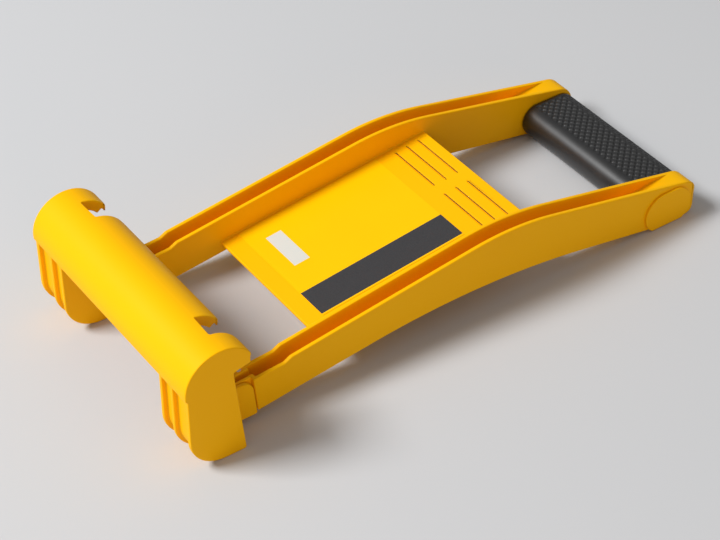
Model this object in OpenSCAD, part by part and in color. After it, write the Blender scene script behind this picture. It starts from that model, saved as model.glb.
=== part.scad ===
// Panel carrier: a hand tool that hooks under the lower edge of a board.
// It lies on its feet and eyes, jaw to -Y and handle to +Y, as on a bench.

/* [Overall] */
// Overall length from the front of the jaw to the end of the eyes
carrier_l = 402; // [394:0.5:420]

/* [Jaw] */
// Width of the jaw over its end plates
jaw_w = 178; // [174:1:200]
// Outer radius of the half-round shell
shell_r = 23.8; // [22.5:0.1:26]
// Wall thickness of the shell
shell_t = 3; // [2.4:0.1:3.6]
// Height of the shell's axis above the table
shell_z = 59; // [57:0.5:64]
// Angle above the horizontal at which the back lip ends
lip_angle = 31; // [28:1:34]
// Angle below the horizontal at which the front edge ends
front_angle = 8; // [4:1:12]
// Distance of the notches' front edge behind the front of the shell
notch_y = 27; // [26:0.5:30]
// Width of the notches
notch_w = 17; // [16.4:0.1:18]
// Radius at the corners of the lip beside the notches
lip_corner_r = 5; // [3:0.5:6]
// Thickness of the webs along the sides of the notches
web_t = 2.8; // [2:0.1:3.4]
// Depth of the webs along the sides of the notches
web_d = 7; // [6:0.1:8]
// Distance of the webs' ends from the lip's edge
web_in = 2.6; // [2.2:0.1:4]
// Height of the end plates' horns above the table
horn_z = 64.6; // [64:0.1:66]
// Thickness of the end plates
end_plate_t = 3.6; // [3:0.1:4.4]

/* [Feet] */
// Set-back of the feet from the front of the shell
foot_front = 1.4; // [1:0.1:2]
// Depth of a foot at the table, from the front of the shell
foot_back = 38.6; // [37:0.1:40]
// Forward lean of the seat from the table to the shell
seat_lean = 6.4; // [5:0.1:8]
// Height at which the seat meets the lip
seat_z = 62; // [60:0.5:64]
// Radius of the lower front corner
foot_corner_r = 23; // [20:0.5:23.5]
// Radius of the lower back corner
heel_r = 1.5; // [1:0.1:2.5]
// Depth of the grooves in the front of a foot
groove_d = 2.8; // [2:0.1:3.2]
// Thickness of the wall behind the grooves and of the sole
foot_wall_t = 2.2; // [1.6:0.1:2.4]

/* [Hinge] */
// Distance of the hinge axis behind the front of the shell
pivot_y = 23.5; // [23:0.1:24.5]
// Height of the hinge axis above the table
pivot_z = 17.5; // [17:0.1:18.5]
// Thickness of the cheeks that flank the arms
cheek_t = 3; // [2.6:0.1:3.4]
// Reach of the cheeks above the hinge axis
cheek_r = 32; // [29:0.5:32]
// Reach of the cheeks' ears behind the seat
ear_reach = 19; // [18:0.5:20]
// Height of the ears' upper edge above the table
ear_top = 31; // [30:0.5:31.5]
// Height of the ears' lower edge above the table
ear_low = 4; // [3:0.1:6]
// Radius at the upper corner of the ears
ear_corner_r = 8; // [7.5:0.5:10]
// Diameter of the hinge pins
pin_d = 8; // [6:0.5:9]
// Thickness of the skin that closes the sockets of the hinge pins
pin_skin = 1; // [0.8:0.1:1.4]

/* [Arms] */
// Distance of the arms' centre planes from the ends of the jaw
arm_in = 24.5; // [24:0.1:26]
// Width of an arm
arm_w = 15.2; // [14.6:0.1:15.6]
// Thickness of the side walls of an arm
wall_t = 2.8; // [2.2:0.1:3.2]
// Thickness of the side walls of an arm's end
tongue_wall_t = 2.2; // [1.8:0.1:2.4]
// Thickness under the channel
floor_t = 3.4; // [2.6:0.1:4]
// Half the height of an arm at the hinge
tongue_r = 11; // [10.5:0.1:11.4]
// Distance of the step's crest behind the front of the jaw
step_y = 82; // [80:0.5:86]
// Height of the step's crest above the table
step_z = 35.7; // [35:0.1:38]
// Length of the step's slope
step_run = 5; // [4:0.5:8]
// Height of the step
step_rise = 2.7; // [2:0.1:4]
// Radius at the foot and crest of the step
step_r = 3; // [1:0.5:4]
// Place of the bend in the arms' upper edge, from the front of the jaw
peak_y = 247.5; // [240:0.5:255]
// Height of the bend in the arms' upper edge before rounding
peak_z = 57.9; // [56:0.1:60]
// Radius over the bend
peak_r = 180; // [120:5:200]
// Place of the low point of the arms' lower edge, from the front of the jaw
low_y = 50; // [46:0.5:56]
// Height of the low point of the arms' lower edge
low_z = 5; // [4.6:0.1:6]
// Radius at the low point of the arms' lower edge
low_r = 60; // [40:5:80]
// Place of the bend in the arms' lower edge, from the front of the jaw
arch_y = 220; // [214:0.5:226]
// Height of the bend in the arms' lower edge before rounding
arch_z = 26.2; // [24:0.1:28]
// Radius under the bend
arch_r = 550; // [400:10:560]
// Distance from the end of the eyes to where the lower edge meets the table
eye_flat_in = 32.3; // [31:0.1:35]
// Radius where the lower edge meets the table
eye_flat_r = 40; // [30:1:50]
// Distance from the end of the eyes to the end of the channel
channel_in = 17; // [16:0.5:20]
// Distance from the end of the eyes to where the channel turns shallow
shallow_in = 57; // [54:0.5:61]
// Height of the channel's floor where it turns shallow
shallow_z = 26.5; // [25:0.1:28]
// Radius in the floor where the channel turns shallow
shallow_r = 20; // [10:1:24]
// Length of the slope up to where the channel turns shallow
channel_rise_l = 27; // [24:0.5:32]

/* [Eyes] */
// Height of an arm's end before rounding
eye_h = 25.6; // [25:0.1:27]
// Radius of the upper corner at an arm's end
eye_top_r = 14; // [10:0.5:14.5]
// Radius of the lower corner at an arm's end
eye_low_r = 10; // [7:0.5:11]
// Radius of the outer corner at an arm's end, seen from above
eye_plan_r = 5; // [3:0.5:6]
// Distance of the eye caps' front from the handle's axis
cap_front = 22.4; // [21.5:0.1:23]
// Length of the oval eye caps
cap_l = 38.4; // [36:0.1:38.4]
// Height of the oval eye caps before the cut above the table
cap_h = 29; // [27:0.1:29]
// Thickness of the eye caps
cap_t = 1.6; // [1.2:0.1:2.4]
// Diameter of the recess for the screw head
recess_d = 15; // [13:0.5:16]
// Depth of the recess for the screw head
recess_in = 5.4; // [5:0.1:6]

/* [Plate] */
// Front edge of the plate, from the front of the jaw
plate_front = 113; // [108:0.5:118]
// Back edge of the plate, from the front of the jaw
plate_back = 273; // [270:0.5:278]
// Height of the plate's face at its front edge
plate_front_z = 22.1; // [21:0.1:23]
// Height of the plate's face at its back edge
plate_back_z = 41.9; // [40:0.1:43]
// Thickness of the plate
plate_t = 2.6; // [2.2:0.1:3.2]
// Height of the ribs and flanges under the plate
under_h = 5; // [4:0.5:6]
// Thickness of the ribs and flanges under the plate
under_t = 2.2; // [1.6:0.1:2.8]
// Distance of the ribs and flanges from the plate's front and back edges
under_in = 6; // [5:0.5:12]
// Number of ribs along the underside
under_ribs = 3; // [1:1:5]
// Number of rules in each column
rules = 3; // [1:1:3]
// Spacing of the rules along the plate
rule_pitch = 9.3; // [8:0.1:9.6]
// Width of a rule
rule_w = 1; // [0.6:0.1:1.4]
// Depth of a rule
rule_d = 0.7; // [0.4:0.1:1]
// Distance of the first rule from the plate's back edge
rule_in = 9; // [7:0.5:10]
// Distance of the rules from the left arm
rule_left = 4.9; // [3:0.1:7]
// Distance of the rules from the right arm
rule_right = 12.3; // [10:0.1:15]
// Gap between the two columns of rules
rule_gap = 10.6; // [8:0.1:13]

/* [Handle] */
// Height of the grip's section
grip_h = 24.4; // [23:0.1:24.6]
// Depth of the grip's section along the tool
grip_l = 44; // [40:0.5:45]
// Distance of the handle's axis from the end of the eyes
handle_in = 22.6; // [22.5:0.1:24]
// Height of the handle's axis above the table
handle_z = 12.8; // [12.8:0.1:13.4]
// Height of the bar's section
bar_h = 12; // [11:0.1:13]
// Depth of the bar's section along the tool
bar_l = 24; // [20:0.5:26]
// Depth to which the bar is let into each eye
bar_in = 3.6; // [3:0.1:4]
// Shank diameter of the handle screws
screw_d = 5; // [4:0.5:6]
// Length of the handle screws under the head
screw_l = 22; // [18:0.5:28]
// Head diameter of the handle screws
screw_head_d = 10; // [9:0.5:11]
// Head height of the handle screws
screw_head_h = 3.4; // [3:0.1:3.8]
// Width across the flats of the sockets in the screw heads
socket_w = 4; // [3:0.5:5]
// Depth of the sockets in the screw heads
socket_d = 2; // [1.4:0.1:2.4]

/* [Label] */
// Thickness of the label
label_t = 0.3; // [0.2:0.05:0.4]
// Length of the label along the plate
label_l = 108; // [100:1:112]
// Distance of the label from the plate's front edge
label_in = 12.4; // [10:0.1:14]
// Distance of the label from the left arm
label_left = 1.8; // [1:0.1:3]
// Distance of the label from the right arm
label_right = 16.4; // [14:0.1:20]

/* [Clearances] */
// Side gap between an arm's end and a cheek
cheek_gap = 0.4; // [0.3:0.05:0.5]
// Gap between the ears and the shoulders of the arms
ear_gap = 0.6; // [0.5:0.1:0.8]
// Radial clearance of the hinge pins
pin_gap = 0.05; // [0.03:0.01:0.08]
// Clearance of the pieces let into the eyes and of the pins' ends
fit_gap = 0.1; // [0.05:0.05:0.2]
// End gap between the grip and each eye
grip_gap = 0.2; // [0.1:0.05:0.4]
// Height of the caps above the table
table_gap = 0.6; // [0.4:0.1:0.8]

/* [Hidden] */
$fn = 96;
arc_steps = 12;
overrun = 1;
// Share of the arm end's half height taken as its corner radius
round_share = 0.94;

tongue_w = arm_w - 2 * (cheek_t + cheek_gap);
arm_x = jaw_w / 2 - arm_in;
arm_in_x = arm_x - arm_w / 2;
arm_out_x = arm_x + arm_w / 2;
tongue_in_x = arm_x - tongue_w / 2;
tongue_out_x = arm_x + tongue_w / 2;
tongue_front = pivot_y - tongue_r;
tongue_low = pivot_z - tongue_r;
eye_flat_y = carrier_l - eye_flat_in;

channel_w = arm_w - 2 * wall_t;
tongue_channel_w = tongue_w - 2 * tongue_wall_t;
channel_front = pivot_y + tongue_r + wall_t;
channel_back = carrier_l - channel_in;
shallow_y = carrier_l - shallow_in;
channel_rise_y = shallow_y - channel_rise_l;
tongue_fall = (tongue_low - low_z) / (low_y - tongue_front);
eye_fall = arch_z / (eye_flat_y - arch_y);
channel_front_z = tongue_low - tongue_fall * (channel_front - tongue_front) + floor_t;
channel_rise_z = eye_fall * (eye_flat_y - channel_rise_y) + floor_t;
arm_fall = (peak_z - eye_h) / (carrier_l - peak_y);
channel_back_z = eye_h + arm_fall * channel_in;
above = 2 * peak_z;

end_plate_x = jaw_w / 2 - end_plate_t;
cheek_in_x = tongue_in_x - cheek_gap - cheek_t;
cheek_out_x = tongue_out_x + cheek_gap;
cheek_end_x = cheek_out_x + cheek_t;
notch_in_x = arm_x - notch_w / 2;
notch_out_x = arm_x + notch_w / 2;
shell_in_r = shell_r - shell_t;
shell_mid_r = shell_r - shell_t / 2;
seat_y = foot_back - seat_lean;
web_angle = lip_angle + asin(web_in / shell_r);
web_top_angle = 90;
wedge_r = 2 * shell_r;
lip_y = shell_r + shell_r * cos(lip_angle);
// Angle of the lip's lower edge, and distance by which the end plates end short of the lip
lip_draft = 3;
lip_set_back = 0.5;
horn_y = lip_y - lip_set_back;

socket_x = cheek_in_x + pin_skin;
socket_l = cheek_end_x - cheek_in_x - 2 * pin_skin;

handle_y = carrier_l - handle_in;
bar_half = arm_in_x + bar_in;
grip_half = arm_in_x - grip_gap;
recess_x = arm_out_x - recess_in;
spigot_l = recess_in - screw_head_h - fit_gap;

plate_run = plate_back - plate_front;
plate_rise = plate_back_z - plate_front_z;
plate_angle = atan(plate_rise / plate_run);
plate_l = norm([plate_run, plate_rise]);
plate_half = arm_in_x + wall_t / 2;
rib_pitch = 2 * arm_in_x / (under_ribs + 1);
rule_l = (2 * arm_in_x - rule_left - rule_right - rule_gap) / 2;
label_w = 2 * arm_in_x - label_left - label_right;

// Place of the ears' back edge at a height, in line with the seat
function ear_y(z) = foot_back - seat_lean * z / seat_z + ear_reach;

// Unit vector along v
function unit(v) = v / norm(v);

// Point at an angle on a circle of radius r
function polar(r, angle) = r * [cos(angle), sin(angle)];

// Arc that rounds the corner b between a and c with radius r
function corner(a, b, c, r) =
  let (u = unit(a - b), w = unit(c - b))
  let (half = acos(u * w) / 2)
  let (centre = b + unit(u + w) * r / sin(half))
  let (p = b + u * r / tan(half) - centre)
  let (q = b + w * r / tan(half) - centre)
  let (start = atan2(p.y, p.x))
  let (turn = atan2(q.y, q.x) - start)
  let (sweep = turn > 180 ? turn - 360 : turn < -180 ? turn + 360 : turn)
  [for (i = [0:arc_steps]) centre + polar(r, start + sweep * i / arc_steps)];

// Outline through the points, each corner rounded with its own radius, or left sharp at zero
function rounded(points, radii) =
  let (n = len(points))
  [for (i = [0:n - 1])
    each (radii[i] == 0
      ? [points[i]]
      : corner(points[(i + n - 1) % n], points[i], points[(i + 1) % n], radii[i]))];

// The whole tool moved so that its origin is under the middle of its box
module placed() {
  translate([0, -carrier_l / 2, 0])
    children();
}

// A side outline, drawn as [along, up], made into a slab from x over a width
module slab(x, width) {
  translate([x, 0, 0])
    rotate([90, 0, 90])
      linear_extrude(width)
        children();
}

// The children and their mirror image across the tool's middle plane
module both_sides() {
  children();
  mirror([1, 0, 0])
    children();
}

// A cylinder along X from x over a length, on the axis at y and z
module rod(x, y, z, d, l) {
  translate([x, y, z])
    rotate([0, 90, 0])
      cylinder(d = d, h = l);
}

// A flattened oval of a height and a depth
module oval(h, l) {
  square([l - h, h], center = true);
  for (side = [-1, 1])
    translate([side * (l - h) / 2, 0])
      circle(d = h);
}

// The plate's own frame: along its slope, up from its face
module on_plate() {
  translate([0, plate_front, plate_front_z])
    rotate([plate_angle, 0, 0])
      children();
}

// Side outline of an arm
module arm_outline() {
  points = [
    [tongue_front, tongue_low],
    [tongue_front, pivot_z + tongue_r],
    [step_y - step_run, step_z - step_rise],
    [step_y, step_z],
    [peak_y, peak_z],
    [carrier_l, eye_h],
    [carrier_l, 0],
    [eye_flat_y, 0],
    [arch_y, arch_z],
    [low_y, low_z]
  ];
  end_r = round_share * tongue_r;
  front_radii = [end_r, end_r, step_r, step_r, peak_r];
  radii = concat(front_radii, [eye_top_r, eye_low_r, eye_flat_r, arch_r, low_r]);
  polygon(rounded(points, radii));
}

// Side outline of the space inside an arm's channel
module channel_outline() {
  points = [
    [channel_front, above],
    [channel_front, channel_front_z],
    [low_y, low_z + floor_t],
    [arch_y, arch_z + floor_t],
    [channel_rise_y, channel_rise_z],
    [shallow_y, shallow_z],
    [channel_back, channel_back_z],
    [channel_back, above]
  ];
  polygon(rounded(points, [0, wall_t, low_r, arch_r, floor_t, shallow_r, 0, 0]));
}

// Side outline of the space in front of a line that lies a gap behind the ears
module before_ears(gap) {
  polygon([
    [-overrun, -overrun],
    [ear_y(-overrun) + gap, -overrun],
    [ear_y(above) + gap, above],
    [-overrun, above]
  ]);
}

// Plan outline of the corner cut away outside the rounded outer corner of an eye
module eye_corner() {
  centre = [arm_out_x - eye_plan_r, carrier_l - eye_plan_r];
  outside = [arm_out_x + overrun, carrier_l + overrun];
  arc = [for (i = [0:arc_steps]) centre + polar(eye_plan_r, 90 * i / arc_steps)];
  polygon(concat([[centre[0], outside[1]], outside, [outside[0], centre[1]]], arc));
}

// One arm with its channel, its narrow end and its eye
module arm() {
  difference() {
    slab(arm_in_x, arm_w)
      arm_outline();
    translate([0, 0, -overrun])
      linear_extrude(above)
        eye_corner();
    slab(arm_in_x - overrun, tongue_in_x - arm_in_x + overrun)
      before_ears(ear_gap);
    slab(tongue_out_x, arm_out_x - tongue_out_x + overrun)
      before_ears(ear_gap);
    slab(arm_x - tongue_channel_w / 2, tongue_channel_w)
      channel_outline();
    slab(arm_x - channel_w / 2, channel_w)
      difference() {
        channel_outline();
        before_ears(ear_gap + wall_t);
      }
    rod(arm_in_x, pivot_y, pivot_z, pin_d + 2 * pin_gap, arm_w);
    slab(arm_in_x - overrun, bar_in + overrun)
      translate([handle_y, handle_z])
        oval(bar_h + 2 * fit_gap, bar_l + 2 * fit_gap);
    rod(recess_x, handle_y, handle_z, recess_d, recess_in + overrun);
    rod(arm_in_x, handle_y, handle_z, screw_d + 2 * fit_gap, arm_w);
  }
}

// The sloping plate between the arms, its flanges and ribs
module plate() {
  on_plate() {
    translate([-plate_half, 0, -plate_t])
      cube([2 * plate_half, plate_l, plate_t]);
    for (y = [under_in, plate_l - under_in - under_t])
      translate([-plate_half, y, -plate_t - under_h])
        cube([2 * plate_half, under_t, under_h]);
    for (i = [1:under_ribs])
      translate([i * rib_pitch - arm_in_x - under_t / 2, under_in, -plate_t - under_h])
        cube([under_t, plate_l - 2 * under_in, under_h]);
  }
}

// The rules cut into the plate near its back edge
module rule_cuts() {
  on_plate()
    for (column = [0, 1])
      for (i = [0:rules - 1])
        translate([
          rule_left - arm_in_x + column * (rule_l + rule_gap),
          plate_l - rule_in - i * rule_pitch,
          -rule_d
        ])
          cube([rule_l, rule_w, rule_d + overrun]);
}

module frame() {
  color("gold")
    placed() {
      both_sides()
        arm();
      difference() {
        plate();
        rule_cuts();
      }
    }
}

// The sector of a side view that the shell leaves open
module open_sector() {
  polygon([
    [shell_r, shell_z],
    [shell_r, shell_z] - polar(wedge_r, front_angle),
    [-wedge_r, -wedge_r],
    [2 * wedge_r, -wedge_r],
    [shell_r, shell_z] + polar(wedge_r, lip_angle - lip_draft)
  ]);
}

// Side outline of a foot, with its lower front corner moved back by a distance
module foot_outline(back) {
  points = [
    [foot_front + back, 0],
    [foot_front + back, shell_z],
    [shell_r, shell_z],
    [seat_y, seat_z],
    [foot_back, 0]
  ];
  polygon(rounded(points, [foot_corner_r, 0, 0, 0, heel_r]));
}

// Side outline of an end plate: foot, seat and closed end of the shell
module end_outline() {
  foot_outline(0);
  difference() {
    translate([shell_r, shell_z])
      circle(r = shell_mid_r);
    polygon([
      [shell_r, shell_z] - polar(wedge_r, front_angle),
      [-wedge_r, -wedge_r],
      [2 * wedge_r, -wedge_r],
      [2 * wedge_r, shell_z + shell_r],
      [horn_y, shell_z + shell_r],
      [horn_y, horn_z],
      [seat_y, seat_z],
      [shell_r, shell_z]
    ]);
  }
}

// Side outline of a cheek: the foot round the hinge, the stay up to the shell and the ear
module cheek_outline() {
  points = [
    [pivot_y, ear_low],
    [pivot_y, ear_top],
    [ear_y(ear_top), ear_top],
    [ear_y(ear_low), ear_low]
  ];
  polygon(rounded(points, [0, 0, ear_corner_r, heel_r]));
  intersection() {
    end_outline();
    union() {
      translate([pivot_y, pivot_z])
        circle(r = cheek_r);
      square([pivot_y, shell_z + shell_r]);
    }
  }
}

// Side outline of the space inside a foot
module foot_space() {
  in = groove_d + foot_wall_t;
  points = [
    [foot_front + in, foot_wall_t],
    [foot_front + in, shell_z + shell_r],
    [wedge_r, shell_z + shell_r],
    [wedge_r, foot_wall_t]
  ];
  polygon(rounded(points, [foot_corner_r - foot_wall_t, 0, 0, 0]));
}

// One foot: cheeks, front wall with grooves, and sole
module foot() {
  difference() {
    slab(cheek_in_x, end_plate_x - cheek_in_x)
      difference() {
        end_outline();
        foot_space();
      }
    for (groove = [[cheek_in_x + cheek_t, cheek_out_x], [cheek_end_x, end_plate_x]])
      slab(groove[0], groove[1] - groove[0])
        difference() {
          translate([-overrun, -overrun])
            square([pivot_y + overrun, shell_z - shell_r * sin(front_angle) + overrun]);
          foot_outline(groove_d);
        }
  }
  difference() {
    for (x = [cheek_in_x, cheek_out_x])
      slab(x, cheek_t)
        cheek_outline();
    rod(socket_x, pivot_y, pivot_z, pin_d + 2 * pin_gap, socket_l);
  }
}

// The half-round shell with its notches
module shell() {
  difference() {
    rod(-jaw_w / 2, shell_r, shell_z, 2 * shell_r, jaw_w);
    rod(-jaw_w / 2 - overrun, shell_r, shell_z, 2 * shell_in_r, jaw_w + 2 * overrun);
    slab(-jaw_w / 2 - overrun, jaw_w + 2 * overrun)
      open_sector();
    translate([0, 0, seat_z])
      linear_extrude(wedge_r)
        lip_trim();
  }
}

// Plan of what is trimmed from the shell behind its lip, with the notches and the lip's round corners
module lip_trim() {
  end_x = jaw_w / 2 + overrun;
  round = lip_corner_r * [1, sin(lip_angle)];
  arc = [for (i = [0:arc_steps]) [1 - sin(90 * i / arc_steps), 1 - cos(90 * i / arc_steps)]];
  outer = [for (p = arc) [notch_out_x + round.x * p.x, lip_y - round.y * p.y]];
  inner = [for (i = [arc_steps:-1:0]) [notch_in_x - round.x * arc[i].x, lip_y - round.y * arc[i].y]];
  front = [[notch_out_x, notch_y], [notch_in_x, notch_y]];
  right = concat([[end_x, lip_y + wedge_r], [end_x, lip_y]], outer, front, inner);
  left = [for (i = [len(right) - 1:-1:0]) [-right[i].x, right[i].y]];
  polygon(concat(right, left));
}

// The webs that stiffen the lip along the sides of a notch
module notch_webs() {
  for (x = [notch_in_x - web_t, notch_out_x])
    slab(x, web_t)
      difference() {
        translate([shell_r, shell_z])
          circle(r = shell_mid_r);
        translate([shell_r, shell_z])
          circle(r = shell_r - web_d);
        polygon([
          [shell_r, shell_z],
          [shell_r, shell_z] + polar(wedge_r, web_top_angle),
          [-wedge_r, shell_z + wedge_r],
          [-wedge_r, -wedge_r],
          [2 * wedge_r, -wedge_r],
          [shell_r, shell_z] + polar(wedge_r, web_angle)
        ]);
      }
}

module jaw() {
  color("gold")
    placed() {
      shell();
      both_sides() {
        slab(end_plate_x, end_plate_t)
          end_outline();
        foot();
        notch_webs();
      }
    }
}

// A plain hinge pin through an arm's end, held by the closed sockets in the cheeks
module pivot_pin() {
  color("silver")
    placed()
      rod(socket_x + fit_gap, pivot_y, pivot_z, pin_d, socket_l - 2 * fit_gap);
}

module pivot_pin_right() {
  pivot_pin();
}

module pivot_pin_left() {
  mirror([1, 0, 0])
    pivot_pin();
}

module handle_bar() {
  color("dimgray")
    placed()
      difference() {
        slab(-bar_half, 2 * bar_half)
          translate([handle_y, handle_z])
            oval(bar_h, bar_l);
        both_sides()
          rod(recess_x - screw_l, handle_y, handle_z, screw_d, screw_l);
      }
}

module grip() {
  color("black")
    placed()
      slab(-grip_half, 2 * grip_half)
        translate([handle_y, handle_z])
          difference() {
            oval(grip_h, grip_l);
            oval(bar_h, bar_l);
          }
}

// A socket-head screw from the recess in the eye into the bar
module handle_screw() {
  color("silver")
    placed()
      difference() {
        union() {
          rod(recess_x - screw_l, handle_y, handle_z, screw_d, screw_l);
          rod(recess_x, handle_y, handle_z, screw_head_d, screw_head_h);
        }
        translate([recess_x + screw_head_h - socket_d, handle_y, handle_z])
          rotate([0, 90, 0])
            cylinder(d = socket_w / cos(30), h = socket_d + overrun, $fn = 6);
      }
}

module handle_screw_right() {
  handle_screw();
}

module handle_screw_left() {
  mirror([1, 0, 0])
    handle_screw();
}

// An oval cap on the outer face of an eye, cut level above the table, with a spigot in the recess
module eye_cap() {
  color("gold")
    placed() {
      rod(arm_out_x - spigot_l, handle_y, handle_z, recess_d - 2 * fit_gap, spigot_l);
      slab(arm_out_x, cap_t)
        intersection() {
          translate([handle_y - cap_front + cap_l / 2, handle_z])
            oval(cap_h, cap_l);
          translate([handle_y - cap_l, table_gap])
            square([2 * cap_l, 2 * cap_h]);
        }
    }
}

module eye_cap_right() {
  eye_cap();
}

module eye_cap_left() {
  mirror([1, 0, 0])
    eye_cap();
}

module label() {
  color("yellow")
    placed()
      on_plate()
        translate([label_left - arm_in_x, label_in, 0])
          cube([label_w, label_l, label_t]);
}

frame();
jaw();
pivot_pin_left();
pivot_pin_right();
handle_bar();
grip();
handle_screw_left();
handle_screw_right();
eye_cap_left();
eye_cap_right();
label();
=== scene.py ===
import math

import bmesh
import bpy
import numpy as np
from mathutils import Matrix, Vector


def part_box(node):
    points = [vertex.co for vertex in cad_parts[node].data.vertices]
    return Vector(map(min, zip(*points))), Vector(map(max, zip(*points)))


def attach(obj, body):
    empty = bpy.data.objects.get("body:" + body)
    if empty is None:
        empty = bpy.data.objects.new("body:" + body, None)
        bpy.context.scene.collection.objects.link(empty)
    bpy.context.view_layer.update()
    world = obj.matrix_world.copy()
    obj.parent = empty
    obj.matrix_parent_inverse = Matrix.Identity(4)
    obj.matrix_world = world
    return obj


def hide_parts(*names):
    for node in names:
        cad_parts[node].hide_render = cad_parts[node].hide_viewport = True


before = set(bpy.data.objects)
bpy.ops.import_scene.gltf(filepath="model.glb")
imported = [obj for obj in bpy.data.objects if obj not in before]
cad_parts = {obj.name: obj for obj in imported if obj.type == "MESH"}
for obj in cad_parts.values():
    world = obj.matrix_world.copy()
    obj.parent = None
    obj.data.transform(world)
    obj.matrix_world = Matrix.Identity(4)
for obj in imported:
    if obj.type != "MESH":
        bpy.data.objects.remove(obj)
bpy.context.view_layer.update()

# Frame: one ABS moulding of two open channel arms, the sloping plate between them and an eye
# at each arm's end. It is injection moulded, so every outer edge has the tool's small radius.


def linear(hex_colour):
    """sRGB hex to linear RGBA: c is ((c + 0.055) / 1.055) ** 2.4, or c / 12.92 when dark."""
    channels = [int(hex_colour[i : i + 2], 16) / 255 for i in (1, 3, 5)]
    return [c / 12.92 if c <= 0.04045 else ((c + 0.055) / 1.055) ** 2.4 for c in channels] + [1.0]


def add(material, kind, inputs=None, **settings):
    """Adds a shader node with its settings; an input is a value, or a node's output to link."""
    tree = material.node_tree
    made = tree.nodes.new(kind)
    for name, value in settings.items():
        setattr(made, name, value)
    for name, value in (inputs or {}).items():
        if isinstance(value, bpy.types.NodeSocket):
            tree.links.new(value, made.inputs[name])
        else:
            made.inputs[name].default_value = value
    return made


def new_material(name):
    """An empty node material with its output, returned with a function that sets its surface."""
    material = bpy.data.materials.new(name)
    material.use_nodes = True
    tree = material.node_tree
    tree.nodes.clear()
    surface_in = add(material, "ShaderNodeOutputMaterial").inputs["Surface"]
    return material, lambda shader: tree.links.new(shader.outputs["BSDF"], surface_in)


def per_mm(size):
    """Noise scale, in features per metre, for features of a size in millimetres."""
    return 1000 / size


# Injection-moulded ABS: saturated yellow, satin from the tool's spark-eroded skin, with a slight
# orange peel. The grain is drawn at 0.5 mm, coarser than the real 0.1 mm, so that it shows.
abs_yellow, surface = new_material("moulded_abs_yellow")
place = add(abs_yellow, "ShaderNodeTexCoord").outputs["Object"]
flow = add(
    abs_yellow, "ShaderNodeTexNoise", {"Vector": place, "Scale": per_mm(60), "Detail": 2.0}
)
grain = add(
    abs_yellow, "ShaderNodeTexNoise", {"Vector": place, "Scale": per_mm(0.5), "Detail": 3.0}
)
peel = add(
    abs_yellow, "ShaderNodeTexNoise", {"Vector": place, "Scale": per_mm(7), "Detail": 2.0}
)
tint = add(
    abs_yellow, "ShaderNodeMix",
    {"Factor": flow.outputs["Fac"], "A": linear("#FFB900"), "B": linear("#FFBF00")},
    data_type="RGBA",
)
gloss = add(
    abs_yellow, "ShaderNodeMapRange",
    {
        "Value": grain.outputs["Fac"], "From Min": 0.3, "From Max": 0.7,
        "To Min": 0.44, "To Max": 0.56,
    },
)
relief = add(
    abs_yellow, "ShaderNodeBump",
    {"Height": peel.outputs["Fac"], "Distance": 0.0002, "Strength": 0.12},
)
skin = add(
    abs_yellow, "ShaderNodeBump",
    {
        "Height": grain.outputs["Fac"], "Distance": 0.00003, "Strength": 0.35,
        "Normal": relief.outputs["Normal"],
    },
)
surface(
    add(
        abs_yellow, "ShaderNodeBsdfPrincipled",
        {
            "Base Color": tint.outputs["Result"], "Roughness": gloss.outputs["Result"],
            "Normal": skin.outputs["Normal"], "IOR": 1.54, "Specular IOR Level": 0.08,
        },
    )
)


def in_scene(name, data):
    """A new object of that name and data, at the origin and linked to the scene."""
    made = bpy.data.objects.new(name, data)
    bpy.context.scene.collection.objects.link(made)
    return made


merge_gap = 1e-6
flat_within, sharp_from = math.radians(0.4), math.radians(32)
edge_steps = 3


def moulded(node, name, material, edge):
    """A merged copy of a CAD node, its flat faces joined and every sharp edge rounded by a radius.

    Each coordinate is then held between the node's lowest and highest, for where roundings run
    together.
    """
    mesh = bpy.data.meshes.new(name)
    shape = bmesh.new()
    shape.from_mesh(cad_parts[node].data)
    bmesh.ops.remove_doubles(shape, verts=shape.verts, dist=merge_gap)
    bmesh.ops.dissolve_limit(shape, angle_limit=flat_within, verts=shape.verts, edges=shape.edges)
    sharp = [line for line in shape.edges if line.calc_face_angle(0) > sharp_from]
    bmesh.ops.bevel(
        shape, geom=sharp, offset=edge, offset_type="OFFSET", segments=edge_steps, profile=0.5,
        affect="EDGES", clamp_overlap=False, miter_outer="ARC",
    )
    shape.to_mesh(mesh)
    shape.free()
    points = np.zeros(3 * len(mesh.vertices))
    mesh.vertices.foreach_get("co", points)
    mesh.vertices.foreach_set("co", np.clip(points.reshape(-1, 3), *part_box(node)).ravel())
    mesh.shade_smooth()
    mesh.materials.append(material)
    piece = in_scene(name, mesh)
    shading = piece.modifiers.new("even_shading", "WEIGHTED_NORMAL")
    shading.weight = 100
    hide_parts(node)
    return piece


frame_edge = 0.0008
arms = moulded("frame", "carrier_frame", abs_yellow, frame_edge)
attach(arms, "carrier")

# Jaw: a second ABS moulding, half-round shell, end plates and ribbed feet in one, carried on the
# arm ends by two pins.
jaw_edge = 0.0008
hook = moulded("jaw", "hooked_jaw", abs_yellow, jaw_edge)
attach(hook, "jaw")

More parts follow.
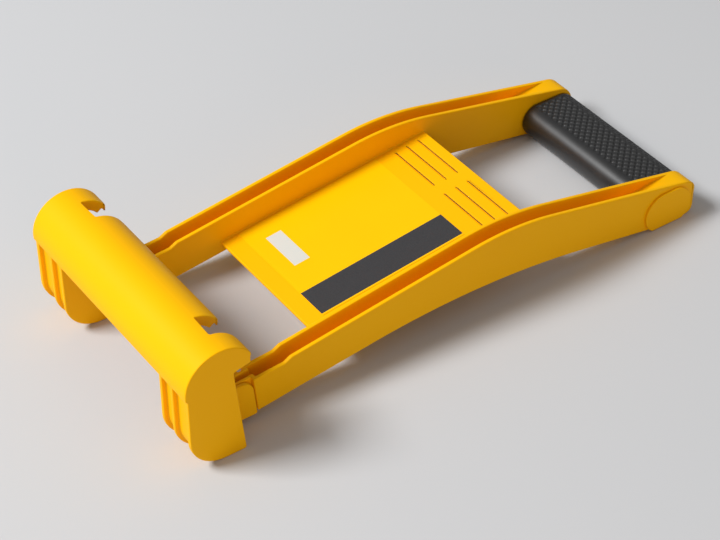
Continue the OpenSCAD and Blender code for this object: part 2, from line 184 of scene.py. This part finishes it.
# Hinge pins: plain zinc-plated steel dowels through the arm ends, shut in by the jaw's cheeks.
# The plating is an uneven bright grey.
zinc_plate, surface = new_material("zinc_plated_steel")
place = add(zinc_plate, "ShaderNodeTexCoord").outputs["Object"]
cloud = add(
    zinc_plate, "ShaderNodeTexNoise", {"Vector": place, "Scale": per_mm(3), "Detail": 4.0}
)
zinc_tint = add(
    zinc_plate, "ShaderNodeMix",
    {"Factor": cloud.outputs["Fac"], "A": linear("#A9ADB3"), "B": linear("#C6C9CE")},
    data_type="RGBA",
)
zinc_gloss = add(
    zinc_plate, "ShaderNodeMapRange",
    {
        "Value": cloud.outputs["Fac"], "From Min": 0.3, "From Max": 0.7,
        "To Min": 0.24, "To Max": 0.38,
    },
)
surface(
    add(
        zinc_plate, "ShaderNodeBsdfPrincipled",
        {
            "Base Color": zinc_tint.outputs["Result"], "Roughness": zinc_gloss.outputs["Result"],
            "Metallic": 1.0,
        },
    )
)


def finish_in(node, material):
    """Gives a CAD node, shown as it is, its one material."""
    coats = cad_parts[node].data.materials
    coats.clear()
    coats.append(material)


for node in ("pivot_pin_left", "pivot_pin_right"):
    finish_in(node, zinc_plate)

# Handle bar: a flat-sided oval of extruded aluminium inside the grip, its ends let into the eyes.
# The die leaves fine lines along its length, drawn here at 0.4 mm so that they show.
mill_aluminium, surface = new_material("extruded_aluminium_mill")
place = add(mill_aluminium, "ShaderNodeTexCoord").outputs["Object"]
drawn_out = add(mill_aluminium, "ShaderNodeMapping", {"Vector": place, "Scale": (0.02, 1.0, 1.0)})
die_lines = add(
    mill_aluminium, "ShaderNodeTexNoise",
    {"Vector": drawn_out.outputs["Vector"], "Scale": per_mm(0.4), "Detail": 3.0},
)
die_relief = add(
    mill_aluminium, "ShaderNodeBump",
    {"Height": die_lines.outputs["Fac"], "Distance": 0.00002, "Strength": 0.4},
)
surface(
    add(
        mill_aluminium, "ShaderNodeBsdfPrincipled",
        {
            "Base Color": linear("#C9CACC"), "Metallic": 1.0, "Roughness": 0.32,
            "Normal": die_relief.outputs["Normal"],
        },
    )
)
finish_in("handle_bar", mill_aluminium)

# Grip: a soft black PVC sleeve slid over the bar before the eyes are screwed on. Its front is
# smooth for the finger tips and so is its back; the top and underside are moulded with a diamond
# knurl.
grip_low, grip_high = (np.array(corner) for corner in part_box("grip"))
grip_middle = (grip_low + grip_high) / 2
grip_length, grip_depth, grip_height = grip_high - grip_low
round_r = grip_height / 2
flat_half = grip_depth / 2 - round_r
half_circle = math.pi * round_r
quarter_round = flat_half + half_circle / 2
girth = 4 * quarter_round
grip_edge, edge_points = 0.0014, 6
pip_depth = 0.0008
pip_along, pip_round = 0.0056, 0.0058
pip_start, pip_reach = 0.0095, quarter_round + 0.0130
smooth_end, field_fade = 0.0025, 0.0012
groove_floor, groove_brim = -0.95, -0.1
sleeve_columns, sleeve_rows = 330, 244


def oval_ring(s):
    """Points and outward normals on the oval at distances s from its top's middle, going forward.

    Top flat, front half circle, bottom flat, back half circle: on a half circle the angle turned
    is the distance gone on it over its radius, and on a flat the point moves and the angle stays.
    """
    marks = np.cumsum([flat_half, half_circle, 2 * flat_half, half_circle])
    on_rounds = np.clip(s - marks[0], 0, half_circle) + np.clip(s - marks[2], 0, half_circle)
    turn = on_rounds / round_r
    forward = (
        np.clip(s, 0, marks[0])
        - np.clip(s - marks[1], 0, 2 * flat_half)
        + np.clip(s - marks[3], 0, flat_half)
    )
    normal = np.stack([-np.sin(turn), np.cos(turn)], -1)
    return np.stack([-forward, np.zeros_like(s)], -1) + round_r * normal, normal


def smooth_step(low, high, value):
    """0 below low, 1 above high, and 3 t^2 - 2 t^3 between."""
    t = np.clip((value - low) / (high - low), 0, 1)
    return t * t * (3 - 2 * t)


def grip_surface(columns, rows):
    """The sleeve as rings along X: the oval, drawn in at each end by a quarter circle, and knurled.

    Two families of diagonal grooves, pip_depth deep, cross in the knurl and leave the pips between:
    a groove is where cos(2 pi (x / pip_along + t / pip_round)), or the same with a minus, is low, t
    being the distance round from the back. With the rings comes the field of the knurl, 1 in it
    and 0 where the sleeve is smooth.
    """
    quarter = np.linspace(0, math.pi / 2, edge_points)
    end_x, end_in = grip_edge * (1 - np.cos(quarter)), grip_edge * (1 - np.sin(quarter))
    middle_x = np.linspace(grip_edge, grip_length - grip_edge, columns)[1:-1]
    x = np.concatenate([end_x, middle_x, grip_length - end_x[::-1]])
    draw_in = np.concatenate([end_in, np.zeros_like(middle_x), end_in[::-1]])
    s = np.linspace(0, girth, rows, endpoint=False)
    point, normal = oval_ring(s)
    t = np.mod(s + quarter_round + girth / 2, girth) - girth / 2
    inside_round = np.minimum(pip_reach - np.abs(t), np.abs(t) - pip_start)
    inside_along = np.minimum(x, grip_length - x) - smooth_end
    field = np.outer(
        smooth_step(0, field_fade, inside_along), smooth_step(0, field_fade, inside_round)
    )
    rising, falling = (np.add.outer(x / pip_along, sign * t / pip_round) for sign in (1, -1))
    land = np.minimum(np.cos(2 * math.pi * rising), np.cos(2 * math.pi * falling))
    groove = pip_depth * (1 - smooth_step(groove_floor, groove_brim, land))
    sink = draw_in[:, None] + field * groove
    ring = point[None] - sink[:, :, None] * normal[None]
    along = np.broadcast_to(x[:, None] - grip_length / 2, sink.shape)
    return np.dstack([along, ring]) + grip_middle, field


def ring_mesh(name, grid, material):
    """A closed mesh from rings of points: quads between rings and one face over each end."""
    rings, rows = grid.shape[:2]
    index = np.arange(rings * rows).reshape(rings, rows)
    turned = np.roll(index, -1, 1)
    quads = np.stack([index[:-1], index[1:], turned[1:], turned[:-1]], -1).reshape(-1, 4)
    mesh = bpy.data.meshes.new(name)
    ends = [index[0].tolist(), index[-1][::-1].tolist()]
    mesh.from_pydata(grid.reshape(-1, 3).tolist(), [], quads.tolist() + ends)
    shape = bmesh.new()
    shape.from_mesh(mesh)
    bmesh.ops.recalc_face_normals(shape, faces=shape.faces)
    shape.to_mesh(mesh)
    shape.free()
    mesh.shade_smooth()
    mesh.materials.append(material)
    return in_scene(name, mesh)


# Moulded soft PVC: near-black, with a satin skin that takes a broad grey highlight and is duller
# in the knurl. The skin's grain is drawn at 0.6 mm so that it shows.
soft_pvc, surface = new_material("moulded_soft_pvc_black")
place = add(soft_pvc, "ShaderNodeTexCoord").outputs["Object"]
bloom = add(
    soft_pvc, "ShaderNodeTexNoise", {"Vector": place, "Scale": per_mm(18), "Detail": 3.0}
)
pvc_grain = add(
    soft_pvc, "ShaderNodeTexNoise", {"Vector": place, "Scale": per_mm(0.6), "Detail": 3.0}
)
pvc_tint = add(
    soft_pvc, "ShaderNodeMix",
    {"Factor": bloom.outputs["Fac"], "A": linear("#131314"), "B": linear("#1A1A1B")},
    data_type="RGBA",
)
pvc_gloss = add(
    soft_pvc, "ShaderNodeMapRange",
    {
        "Value": bloom.outputs["Fac"], "From Min": 0.3, "From Max": 0.7,
        "To Min": 0.31, "To Max": 0.38,
    },
)
knurl = add(soft_pvc, "ShaderNodeAttribute", attribute_name="pip_field")
pvc_dull = add(
    soft_pvc, "ShaderNodeMix",
    {"Factor": knurl.outputs["Fac"], "A": pvc_gloss.outputs["Result"], "B": 0.5},
)
pvc_relief = add(
    soft_pvc, "ShaderNodeBump",
    {"Height": pvc_grain.outputs["Fac"], "Distance": 0.00004, "Strength": 0.3},
)
surface(
    add(
        soft_pvc, "ShaderNodeBsdfPrincipled",
        {
            "Base Color": pvc_tint.outputs["Result"], "Roughness": pvc_dull.outputs["Result"],
            "Normal": pvc_relief.outputs["Normal"], "IOR": 1.53, "Specular IOR Level": 0.8,
        },
    )
)
sleeve_rings, pip_field = grip_surface(sleeve_columns, sleeve_rows)
sleeve = ring_mesh("grip_sleeve", sleeve_rings, soft_pvc)
field_values = sleeve.data.attributes.new("pip_field", "FLOAT", "POINT")
field_values.data.foreach_set("value", pip_field.ravel())
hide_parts("grip")
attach(sleeve, "carrier")

# Handle screws: zinc-plated steel socket screws, one through each eye into the bar's end. Their
# heads sit in the recesses under the eye caps.
for node in ("handle_screw_left", "handle_screw_right"):
    finish_in(node, zinc_plate)

# Eye caps: oval covers moulded in the same ABS as the frame, each pressed by its spigot into the
# recess over a handle screw.
cap_edge = 0.0004
for side in ("left", "right"):
    cap = moulded(f"eye_cap_{side}", f"eye_cover_{side}", abs_yellow, cap_edge)
    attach(cap, "carrier")

# Label: a printed vinyl film stuck to the plate, with a solid dark bar along its right side and one
# blank white field. The corners of both are in metres along the tool's own X and Y.
bar_low, bar_high = (0.0160, -0.0757), (0.0391, 0.0314)
white_low, white_high = (-0.0400, -0.0647), (-0.0069, -0.0534)
# Screen-printed vinyl: yellow ground and dark grey ink under a satin skin with a faint ripple from
# the hand that laid it.
film, surface = new_material("printed_vinyl_film")
place = add(film, "ShaderNodeTexCoord").outputs["Object"]
axes = add(film, "ShaderNodeSeparateXYZ", {"Vector": place})


def printed_field(low, high):
    """1 inside a rectangle from its low to its high corner, and 0 outside.

    A coordinate is inside when it is within half the side's length of the side's middle.
    """
    inside = []
    for axis, start, end in zip("XY", low, high):
        middle, reach = (start + end) / 2, (end - start) / 2
        test = add(
            film, "ShaderNodeMath", {0: axes.outputs[axis], 1: middle, 2: reach},
            operation="COMPARE",
        )
        inside.append(test.outputs["Value"])
    both = add(film, "ShaderNodeMath", {0: inside[0], 1: inside[1]}, operation="MULTIPLY")
    return both.outputs["Value"]


dark_bar = printed_field(bar_low, bar_high)
white_field = printed_field(white_low, white_high)
speckle = add(film, "ShaderNodeTexNoise", {"Vector": place, "Scale": per_mm(0.8), "Detail": 4.0})
drift = add(film, "ShaderNodeTexNoise", {"Vector": place, "Scale": per_mm(40), "Detail": 2.0})
ground = add(
    film, "ShaderNodeMix",
    {"Factor": drift.outputs["Fac"], "A": linear("#FFC200"), "B": linear("#FFC800")},
    data_type="RGBA",
)
ink = add(
    film, "ShaderNodeMix",
    {"Factor": speckle.outputs["Fac"], "A": linear("#353537"), "B": linear("#49494B")},
    data_type="RGBA",
)
with_bar = add(
    film, "ShaderNodeMix",
    {"Factor": dark_bar, "A": ground.outputs["Result"], "B": ink.outputs["Result"]},
    data_type="RGBA",
)
with_white = add(
    film, "ShaderNodeMix",
    {"Factor": white_field, "A": with_bar.outputs["Result"], "B": linear("#D6D6CF")},
    data_type="RGBA",
)
ripple = add(
    film, "ShaderNodeBump",
    {"Height": drift.outputs["Fac"], "Distance": 0.0004, "Strength": 0.15},
)
surface(
    add(
        film, "ShaderNodeBsdfPrincipled",
        {
            "Base Color": with_white.outputs["Result"], "Roughness": 0.46,
            "Normal": ripple.outputs["Normal"], "IOR": 1.5, "Specular IOR Level": 0.10,
        },
    )
)
finish_in("label", film)

# Rules: six grooves moulded near the plate's back edge, with a dark brown bar laid in each floor.
# Each bar is 0.44 mm thick and its top lies 0.25 mm below the face of the plate.
rule_x = np.array([-0.0520, 0.0016])
rule_rows = 3
rule_length, rule_width, rule_pitch = 0.0430, 0.0010, 0.0093
plate_foot = np.array([-0.0880, 0.0221])
plate_run, plate_rise = 0.1600, 0.0198
plate_tilt = math.atan2(plate_rise, plate_run)
first_rule = math.hypot(plate_run, plate_rise) - 0.0090
fill_low, fill_high, fill_gap = -0.00069, -0.00025, 0.00003


def rule_fills():
    """Corners of the six bars, worked out in the plate's frame and turned up by the plate's slope.

    A corner is its column's start plus 0 or the length, its row's start plus 0 or the width, and
    the low or high face; along and up then turn by the tilt about the plate's front edge.
    """
    row = first_rule - rule_pitch * np.arange(rule_rows)
    x = rule_x[:, None] + np.array([fill_gap, rule_length - fill_gap])
    along = row[:, None] + np.array([fill_gap, rule_width - fill_gap])
    flat = np.zeros((rule_rows, 2, 2, 2))
    flat[..., 0] = along[:, :, None]
    flat[..., 1] = np.array([fill_low, fill_high])
    cos_tilt, sin_tilt = math.cos(plate_tilt), math.sin(plate_tilt)
    turned = np.array([[cos_tilt, -sin_tilt], [sin_tilt, cos_tilt]])
    grid = np.zeros((len(rule_x), rule_rows, 2, 2, 2, 3))
    grid[..., 0] = x[:, None, :, None, None]
    grid[..., 1:] = (flat @ turned.T + plate_foot)[None, :, None]
    return grid.reshape(-1, 8, 3)


bars = rule_fills()
bar_faces = np.array(
    [[0, 1, 3, 2], [4, 6, 7, 5], [0, 4, 5, 1], [2, 3, 7, 6], [0, 2, 6, 4], [1, 5, 7, 3]]
)
all_faces = bar_faces[None] + 8 * np.arange(len(bars))[:, None, None]
fill_mesh = bpy.data.meshes.new("rule_fill")
fill_mesh.from_pydata(bars.reshape(-1, 3).tolist(), [], all_faces.reshape(-1, 4).tolist())
# Dark brown, a little uneven from a noise of 2 mm features.
groove_brown, surface = new_material("dark_brown_groove_fill")
place = add(groove_brown, "ShaderNodeTexCoord").outputs["Object"]
unevenness = add(
    groove_brown, "ShaderNodeTexNoise", {"Vector": place, "Scale": per_mm(2), "Detail": 3.0}
)
brown = add(
    groove_brown, "ShaderNodeMix",
    {"Factor": unevenness.outputs["Fac"], "A": linear("#5A3A06"), "B": linear("#7E5608")},
    data_type="RGBA",
)
surface(
    add(
        groove_brown, "ShaderNodeBsdfPrincipled",
        {"Base Color": brown.outputs["Result"], "Roughness": 0.5},
    )
)
fill_mesh.materials.append(groove_brown)
fills = in_scene("rule_fill", fill_mesh)
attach(fills, "carrier")

# Floor, light and camera: a pale grey table in a bright room, under a large soft light high in
# front of the jaw and a weak warm one low on the right, seen from the jaw's right end.
half_floor = 3.0
floor_mesh = bpy.data.meshes.new("table_top")
floor_mesh.from_pydata(
    [
        (-half_floor, -half_floor, 0), (half_floor, -half_floor, 0),
        (half_floor, half_floor, 0), (-half_floor, half_floor, 0),
    ],
    [], [(0, 1, 2, 3)],
)
floor = in_scene("table_top", floor_mesh)
# Matt paper: pale grey, with no pattern that shows.
paper, surface = new_material("matt_paper_grey")
surface(
    add(
        paper, "ShaderNodeBsdfPrincipled",
        {"Base Color": linear("#CBCCCE"), "Roughness": 0.8, "Specular IOR Level": 0.2},
    )
)
floor_mesh.materials.append(paper)

room_level = 0.30
world = bpy.data.worlds.new("studio")
bpy.context.scene.world = world
world.use_nodes = True
room = world.node_tree.nodes["Background"].inputs
room["Color"].default_value = linear("#FFFFFF")
room["Strength"].default_value = room_level


def soft_light(name, at, size, power, colour):
    """A square area light of a size, at a place, facing the origin: turned down, then round."""
    lamp = bpy.data.lights.new(name, "AREA")
    lamp.size = size
    lamp.energy = power
    lamp.color = linear(colour)[:3]
    holder = in_scene(name, lamp)
    holder.location = at
    down = math.acos(at[2] / math.hypot(*at))
    holder.rotation_euler = (down, 0.0, math.atan2(-at[1], -at[0]) - math.pi / 2)


key_at, key_power = (-1.08, -2.53, 2.91), 168.0
fill_at, fill_power = (3.74, -1.15, 0.84), 20.0
light_size = 1.4
soft_light("key", key_at, light_size, key_power, "#FFFFFF")
soft_light("fill", fill_at, light_size, fill_power, "#FFDCB4")

view = bpy.data.cameras.new("view")
view.lens = 103.77
view.sensor_width = 36.0
camera = in_scene("view", view)
bpy.context.scene.camera = camera
azimuth, elevation, distance = math.radians(54.89), math.radians(39.99), 1.3145
aim = np.array([0.00542, -0.02361, 0.01040])
level = math.cos(elevation)
back = np.array([math.sin(azimuth) * level, -math.cos(azimuth) * level, math.sin(elevation)])
camera.location = aim + distance * back
camera.rotation_euler = (math.pi / 2 - elevation, 0.0, azimuth)
bpy.context.scene.view_settings.view_transform = "Standard"
